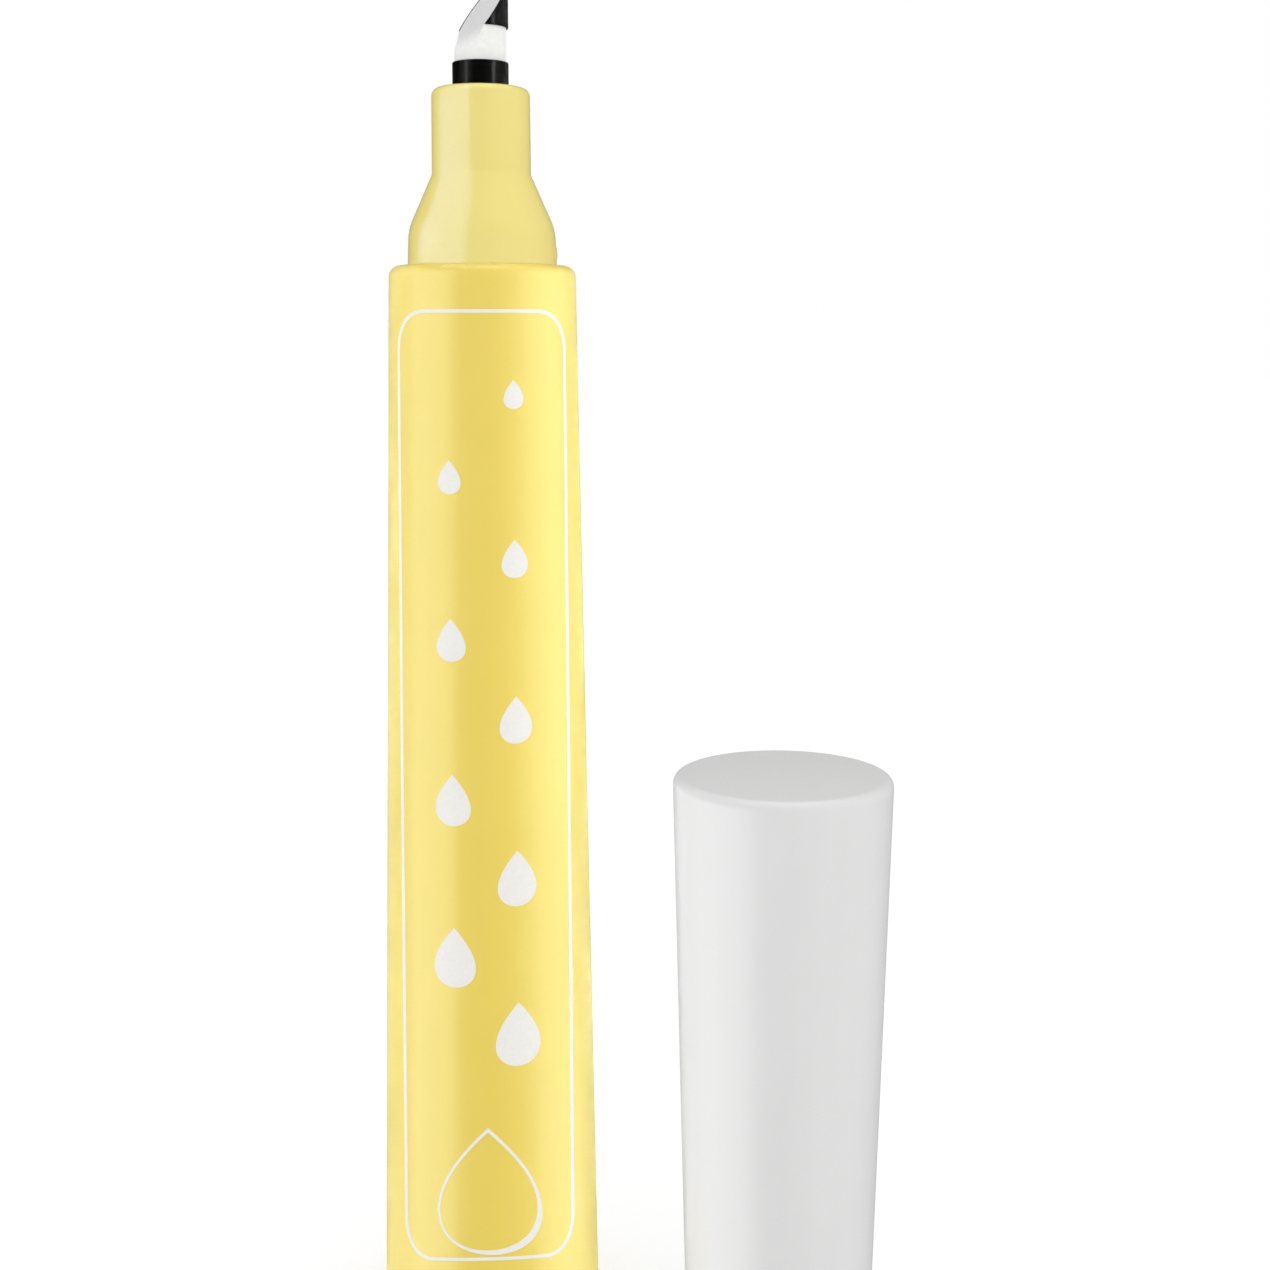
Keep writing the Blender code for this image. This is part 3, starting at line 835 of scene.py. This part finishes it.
def make_nib():
    """The white core, the collar at its foot and the sleeve round its cut end."""
    body_foot = neck_top_z - NIB_BODY_DEPTH + COLLAR_GAP
    outline = [
        (0, core_high.z, 0),
        (NIB_RADIUS, core_high.z, 0),
        (NIB_RADIUS, body_foot, 0),
        (NIB_STEM_RADIUS, body_foot, 0),
        (NIB_STEM_RADIUS, core_low.z + NIB_STEM_CHAMFER, 0),
        (NIB_STEM_RADIUS - NIB_STEM_CHAMFER, core_low.z, 0),
        (0, core_low.z, 0),
    ]
    core = turned(rounded(outline), NIB_SIDES)
    close_worn_cut(core, cut_on_slant(core))
    nib = piece("nib", core, nib_white)
    stand_for(nib, "nib_core", "pen")

    collar = turned(skin_section(collar_high.z, collar_low.z), NIB_SIDES)
    band = piece("nib_band", collar, nib_black)
    stand_for(band, "nib_collar", "pen")

    sleeve = turned(skin_section(sleeve_high.z, sleeve_low.z), NIB_SIDES)
    bmesh.ops.edgenet_fill(sleeve, edges=cut_on_slant(sleeve))
    bmesh.ops.recalc_face_normals(sleeve, faces=sleeve.faces)
    tip_skin = piece("nib_tip_skin", sleeve, nib_black)
    stand_for(tip_skin, "nib_sleeve", "pen")
    return [band, tip_skin]


def make_cap():
    """The cap's shell, with its closed end up and a snap groove inside its mouth."""
    length = shell_high.z
    bore_top = length - CAP_END_WALL
    groove_z = LUG_CENTRE_ABOVE_SEAT
    outline = [
        (0, length, 0),
        (CAP_END_RADIUS, length, CAP_END_FILLET),
        (SHOULDER_RADIUS, 0, CAP_MOUTH_FILLET),
        (CAP_BORE_RADIUS + CAP_MOUTH_CHAMFER, 0, CAP_MOUTH_CHAMFER),
        (CAP_BORE_RADIUS, CAP_MOUTH_CHAMFER, 0),
        (CAP_BORE_RADIUS, groove_z - LUG_HEIGHT / 2, 0),
        (CAP_GROOVE_RADIUS, groove_z, 0),
        (CAP_BORE_RADIUS, groove_z + LUG_HEIGHT / 2, 0),
        (CAP_BORE_RADIUS, CAP_STEP_Z, 0),
        (CAP_HOLD_RADIUS, CAP_STEP_Z, 0),
        (CAP_HOLD_RADIUS - CAP_BORE_DRAFT, bore_top, CAP_END_FILLET),
        (0, bore_top, 0),
    ]
    shape = turned(rounded(outline), BODY_SIDES)
    made = piece("cap_body", shape, white, (*cap_axis, 0))
    stand_for(made, "cap_shell", "cap")
    return made


def make_cap_liner():
    """The inner cap: its flange, sealing bore, nib chamber and long ribs."""
    flange_top = liner_low.z + LINER_FLANGE_THICKNESS
    chamber_top = liner_high.z - LINER_WALL
    outer = LINER_BORE_RADIUS + LINER_WALL
    chamber_outer = LINER_CHAMBER_RADIUS + LINER_WALL
    seal_z = (flange_top + LINER_TUBE_END) / 2
    outline = [
        (0, liner_high.z, 0),
        (chamber_outer, liner_high.z, LINER_WALL),
        (chamber_outer, LINER_TUBE_END + LINER_WALL, 0),
        (outer, LINER_TUBE_END, 0),
        (outer, flange_top, 0),
        (LINER_FLANGE_RADIUS, flange_top, 0),
        (LINER_FLANGE_RADIUS, liner_low.z, MOUTH_EDGE),
        (LINER_BORE_RADIUS + LINER_LEAD_IN, liner_low.z, LINER_LEAD_IN),
        (LINER_BORE_RADIUS, liner_low.z + LINER_LEAD_IN, 0),
        (LINER_BORE_RADIUS, seal_z - LINER_SEAL_HEIGHT / 2, 0),
        (LINER_SEAL_RADIUS, seal_z, MOUTH_EDGE),
        (LINER_BORE_RADIUS, seal_z + LINER_SEAL_HEIGHT / 2, 0),
        (LINER_BORE_RADIUS, LINER_TUBE_END, 0),
        (LINER_CHAMBER_RADIUS, LINER_TUBE_END + LINER_WALL, 0),
        (LINER_CHAMBER_RADIUS, chamber_top, 0),
        (0, chamber_top, 0),
    ]
    shape = turned(rounded(outline), INNER_SIDES)
    root = LINER_BORE_RADIUS + LINER_WALL / 2
    foot = flange_top - LINER_FLANGE_THICKNESS / 2
    size = Vector((LINER_RIB_RADIUS - root, LINER_RIB_WIDTH, LINER_RIB_TOP - foot))
    centre = Vector(((LINER_RIB_RADIUS + root) / 2, 0, (LINER_RIB_TOP + foot) / 2))
    for index in range(LINER_RIB_COUNT):
        turn = Matrix.Rotation(math.tau * index / LINER_RIB_COUNT, 4, "Z")
        place = turn @ Matrix.Translation(centre) @ Matrix.Diagonal((*size, 1.0))
        bmesh.ops.create_cube(shape, size=1.0, matrix=place)
    made = piece("inner_cap", shape, natural, (*cap_axis, 0))
    stand_for(made, "cap_liner", "cap")
    return made


def on_barrel(across, z, lift):
    """The point on the barrel at a distance round its surface from the print's middle."""
    angle = across / barrel_radius(z) + PRINT_TURN
    radius = barrel_radius(z) + lift
    return Vector((radius * math.sin(angle), -radius * math.cos(angle), z))


def arched(point):
    """A print point, let down toward the barrel's sides near the frame's foot.

    The foot of the frame then looks straight from the front, a little above it.
    """
    height_share = (FRAME_TOP_Z - point.y) / (FRAME_TOP_Z - FRAME_BOTTOM_Z)
    foot_radius = barrel_radius(FRAME_BOTTOM_Z)
    full_turn = 1 - math.cos(FRAME_HALF_WIDTH / foot_radius)
    turn_share = (1 - math.cos(point.x / foot_radius)) / full_turn
    drop = PRINT_ARCH * max(0, height_share) ** PRINT_ARCH_POWER * turn_share
    return Vector((point.x, point.y - drop))


def printed(name, shape):
    """A piece of ink that rides on the pen."""
    bmesh.ops.recalc_face_normals(shape, faces=shape.faces)
    made = piece(name, shape, ink)
    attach(made, "pen")
    return made


def ink_band(name, inner, outer):
    """A closed band of ink between two outlines of (across, z) points on the barrel."""
    shape = bmesh.new()
    sections = []
    for inner_point, outer_point in zip(inner, outer):
        low = arched(inner_point)
        high = arched(outer_point)
        sections.append([
            shape.verts.new(on_barrel(*low, 0)),
            shape.verts.new(on_barrel(*high, 0)),
            shape.verts.new(on_barrel(*high, INK_THICKNESS)),
            shape.verts.new(on_barrel(*low, INK_THICKNESS)),
        ])
    for index, section in enumerate(sections):
        after = sections[(index + 1) % len(sections)]
        for side in range(len(section)):
            turn = (side + 1) % len(section)
            shape.faces.new([section[side], section[turn], after[turn], after[side]])
    return printed(name, shape)


def ink_patch(name, outline, centre):
    """A filled patch of ink inside an outline of (across, z) points on the barrel."""
    shape = bmesh.new()
    layers = []
    for lift in (INK_THICKNESS, 0):
        rings = []
        for ring in range(PATCH_RINGS):
            share = 1 - ring / PATCH_RINGS
            inset = [arched(centre + (point - centre) * share) for point in outline]
            rings.append([shape.verts.new(on_barrel(*point, lift)) for point in inset])
        rings.append([shape.verts.new(on_barrel(*arched(centre), lift))] * len(outline))
        layers.append(rings)
    top, bottom = layers
    pairs = [*zip(top, top[1:]), *zip(bottom, bottom[1:]), (top[0], bottom[0])]
    for first, second in pairs:
        for index in range(len(outline)):
            after = (index + 1) % len(outline)
            corners = [first[index], second[index], second[after], first[after]]
            shape.faces.new(list(dict.fromkeys(corners)))
    return printed(name, shape)


def frame_outline(side_inset, end_inset):
    """The printed frame's outline, moved in at its sides and at its ends."""
    radius_across = FRAME_CORNER_RADIUS - side_inset
    radius_up = FRAME_CORNER_RADIUS - end_inset
    reach = FRAME_HALF_WIDTH - FRAME_CORNER_RADIUS
    top = FRAME_TOP_Z - FRAME_CORNER_RADIUS
    bottom = FRAME_BOTTOM_Z + FRAME_CORNER_RADIUS
    corners = ((reach, top), (-reach, top), (-reach, bottom), (reach, bottom))
    centres = [Vector(place) for place in corners]
    points = []
    for index, centre in enumerate(centres):
        for step in range(CORNER_STEPS + 1):
            angle = math.pi / 2 * (index + step / CORNER_STEPS)
            reached = Vector((radius_across * math.cos(angle), radius_up * math.sin(angle)))
            points.append(centre + reached)
        corner_end = points[-1]
        way = centres[(index + 1) % len(centres)] - centre
        points += [corner_end + way * step / EDGE_STEPS for step in range(1, EDGE_STEPS)]
    return points


def drop_outline(place, radius, height):
    """A drop about a place: a round belly below and a point above."""
    points = []
    for step in range(DROP_STEPS):
        turn = math.tau * step / DROP_STEPS
        across = DROP_BELLY * radius * math.sin(turn) * math.sin(turn / 2)
        points.append(place + Vector((across, height / 2 * math.cos(turn))))
    return points


def shadowed(outline):
    """An outline pushed out where it faces the drop shadow."""
    way = Vector((math.cos(DROP_SHADOW_BEARING), math.sin(DROP_SHADOW_BEARING)))
    pushed = []
    for index, point in enumerate(outline):
        along = outline[(index + 1) % len(outline)] - outline[index - 1]
        outward = Vector((-along.y, along.x)).normalized()
        pushed.append(point + way * DROP_SHADOW * max(0, outward.dot(way)))
    return pushed


def make_print():
    """The frame line, the large drop in outline and the trail of small solid drops."""
    outer = frame_outline(0, 0)
    inner = frame_outline(FRAME_SIDE_LINE, FRAME_END_LINE)
    pieces = [ink_band("print_frame", inner, outer)]
    place = Vector((0, DROP_Z))
    outer = drop_outline(place, DROP_RADIUS, DROP_HEIGHT)
    inner = drop_outline(
        place + Vector((0, (DROP_LINE - DROP_POINT_LINE) / 2)),
        DROP_RADIUS - DROP_LINE,
        DROP_HEIGHT - DROP_LINE - DROP_POINT_LINE,
    )
    pieces.append(ink_band("print_drop", inner, shadowed(outer)))
    for index in range(TRAIL_COUNT):
        share = index / (TRAIL_COUNT - 1)
        sway = TRAIL_SWAY * (-1) ** index
        place = Vector((sway, TRAIL_TOP_Z + (TRAIL_FOOT_Z - TRAIL_TOP_Z) * share))
        radius = TRAIL_FIRST_RADIUS + (TRAIL_LAST_RADIUS - TRAIL_FIRST_RADIUS) * share
        outline = drop_outline(place, radius, radius * TRAIL_DROP_SLENDERNESS)
        pieces.append(ink_patch(f"print_trail_{index + 1}", outline, place))
    return pieces


barrel_piece = make_barrel()
make_rear_plug()
neck_piece = make_neck()
skin_pieces = make_nib()
cap_piece = make_cap()
liner_piece = make_cap_liner()
print_pieces = make_print()

for node, material in (("reservoir_core", fibre), ("reservoir_wrap", film)):
    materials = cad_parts[node].data.materials
    materials.clear()
    materials.append(material)

# No gloss mirrors these pieces, and the barrel throws no yellow on what is near it
for item in [barrel_piece, cap_piece, liner_piece, *print_pieces]:
    item.visible_glossy = False
barrel_piece.visible_diffuse = False


def make_floor():
    """A wide white floor that keeps the object's shadow, with a glow that the camera sees."""
    shape = bmesh.new()
    bmesh.ops.create_grid(
        shape,
        x_segments=FLOOR_SEGMENTS,
        y_segments=FLOOR_SEGMENTS,
        size=FLOOR_SIZE,
    )
    material, tree = new_material("floor_white")
    tree.nodes.remove(tree.nodes["Principled BSDF"])
    ray = tree.nodes.new("ShaderNodeLightPath")
    paper = noise(tree, FLOOR_GRAIN_SCALE, FLOOR_GRAIN_DETAIL)
    colour = tinted(tree, paper, FLOOR_COLOUR, FLOOR_TINT)
    diffuse = add(tree, "ShaderNodeBsdfDiffuse", Color=colour)
    strength = calculated(tree, "MULTIPLY", ray.outputs["Is Camera Ray"], FLOOR_GLOW)
    glow = add(tree, "ShaderNodeEmission", Color=WHITE, Strength=strength)
    both = tree.nodes.new("ShaderNodeAddShader")
    tree.links.new(diffuse.outputs["BSDF"], both.inputs[0])
    tree.links.new(glow.outputs["Emission"], both.inputs[1])
    tree.links.new(both.outputs["Shader"], tree.nodes["Material Output"].inputs["Surface"])
    floor = piece("floor", shape, material)
    floor.visible_glossy = False


def by_bearing(levels):
    """Ramp stops from levels by bearing in degrees."""
    return [((degrees + 180) / 360, [level] * 3) for degrees, level in levels]


def make_world():
    """White to the camera, soft panels at the sides to gloss, and an even ring of light."""
    world = bpy.data.worlds.new("studio")
    bpy.context.scene.world = world
    world.use_nodes = True
    tree = world.node_tree
    ray = tree.nodes.new("ShaderNodeLightPath")
    place = tree.nodes.new("ShaderNodeTexCoord")
    way = add(tree, "ShaderNodeSeparateXYZ", Vector=place.outputs["Generated"])
    frontward = calculated(tree, "MULTIPLY", way.outputs["Y"], -1.0)
    bearing = calculated(tree, "ARCTAN2", way.outputs["X"], frontward)
    turn = ranged(tree, bearing, -math.pi, math.pi)
    panels = ramp(tree, turn, by_bearing(REFLECTED_LEVELS))
    ring = ramp(tree, turn, by_bearing(RING_SHARES))
    heights = [(RING_FADE_FROM, [RING_LEVEL] * 3), (RING_FADE_TO, [SKY_LEVEL] * 3)]
    even = multiplied(tree, ramp(tree, way.outputs["Z"], heights), ring)
    lit = blended(tree, "RGBA", ray.outputs["Is Glossy Ray"], even, panels)
    clear = ray.outputs["Is Transmission Ray"]
    seen = calculated(tree, "MAXIMUM", ray.outputs["Is Camera Ray"], clear)
    final = blended(tree, "RGBA", seen, lit, WHITE)
    tree.links.new(final, tree.nodes["Background"].inputs["Color"])


def place_lamp(name, place, turn, size, level, receivers, gloss=True, tint=(1.0, 1.0, 1.0)):
    """A flat lamp that lights its receivers alone, in their gloss or in their colour."""
    data = bpy.data.lights.new(name, "AREA")
    data.shape = "RECTANGLE"
    data.size, data.size_y = size
    data.energy = level * math.pi * data.size * data.size_y
    data.color = tint
    data.cycles.use_multiple_importance_sampling = False
    lamp = bpy.data.objects.new(name, data)
    bpy.context.scene.collection.objects.link(lamp)
    lamp.location = place
    lamp.rotation_euler = turn
    lamp.visible_glossy = gloss
    lamp.visible_diffuse = not gloss
    lamp.visible_camera = False
    collection = bpy.data.collections.new(f"{name}_receivers")
    for item in receivers:
        collection.objects.link(item)
    lamp.light_linking.receiver_collection = collection
    lamp.light_linking.blocker_collection = collection


def make_softbox(
    name,
    bearing,
    width,
    level,
    receivers,
    gloss=True,
    tint=(1.0, 1.0, 1.0),
    height=SOFTBOX_HEIGHT,
    top=SOFTBOX_TOP_Z,
):
    """An upright lamp at a bearing, as wide as an angle seen from the pen."""
    angle = math.radians(bearing)
    place = (
        SOFTBOX_DISTANCE * math.sin(angle),
        -SOFTBOX_DISTANCE * math.cos(angle),
        top - height / 2,
    )
    across = 2 * SOFTBOX_DISTANCE * math.tan(math.radians(width) / 2)
    turn = (math.pi / 2, 0, angle)
    place_lamp(name, place, turn, (across, height), level, receivers, gloss, tint)


def make_softboxes(lamps, receivers):
    """The softboxes that light some pieces alone."""
    for lamp in lamps:
        make_softbox(receivers=receivers, **lamp)


def make_camera():
    """The camera at the photograph's angle, framed by a small shift."""
    data = bpy.data.cameras.new("camera")
    data.sensor_width = SENSOR_WIDTH_MM
    data.lens = SENSOR_WIDTH_MM * FOCAL_PIXELS / IMAGE_SIZE
    data.shift_y = (AXIS_ROW - IMAGE_SIZE / 2) / IMAGE_SIZE
    data.clip_start = CLIP_START
    camera = bpy.data.objects.new("camera", data)
    bpy.context.scene.collection.objects.link(camera)
    pitch = math.atan((AXIS_ROW - HORIZON_ROW) / FOCAL_PIXELS)
    camera.location = CAMERA_PLACE
    camera.rotation_euler = (math.pi / 2 - pitch, 0, 0)
    bpy.context.scene.camera = camera


make_floor()
make_world()
make_softboxes(BARREL_LAMPS, [barrel_piece, *print_pieces])
make_softboxes(NECK_LAMPS, [neck_piece])
make_softboxes(NIB_LAMPS, skin_pieces)
place_lamp(
    "ceiling",
    place=(0, 0, CEILING_Z),
    turn=(0, 0, 0),
    size=(CEILING_SIZE, CEILING_SIZE),
    level=CEILING_LEVEL,
    receivers=[barrel_piece, neck_piece, cap_piece],
)
make_softboxes(CAP_LAMPS, [cap_piece])
make_camera()
bpy.context.scene.view_settings.view_transform = "Standard"
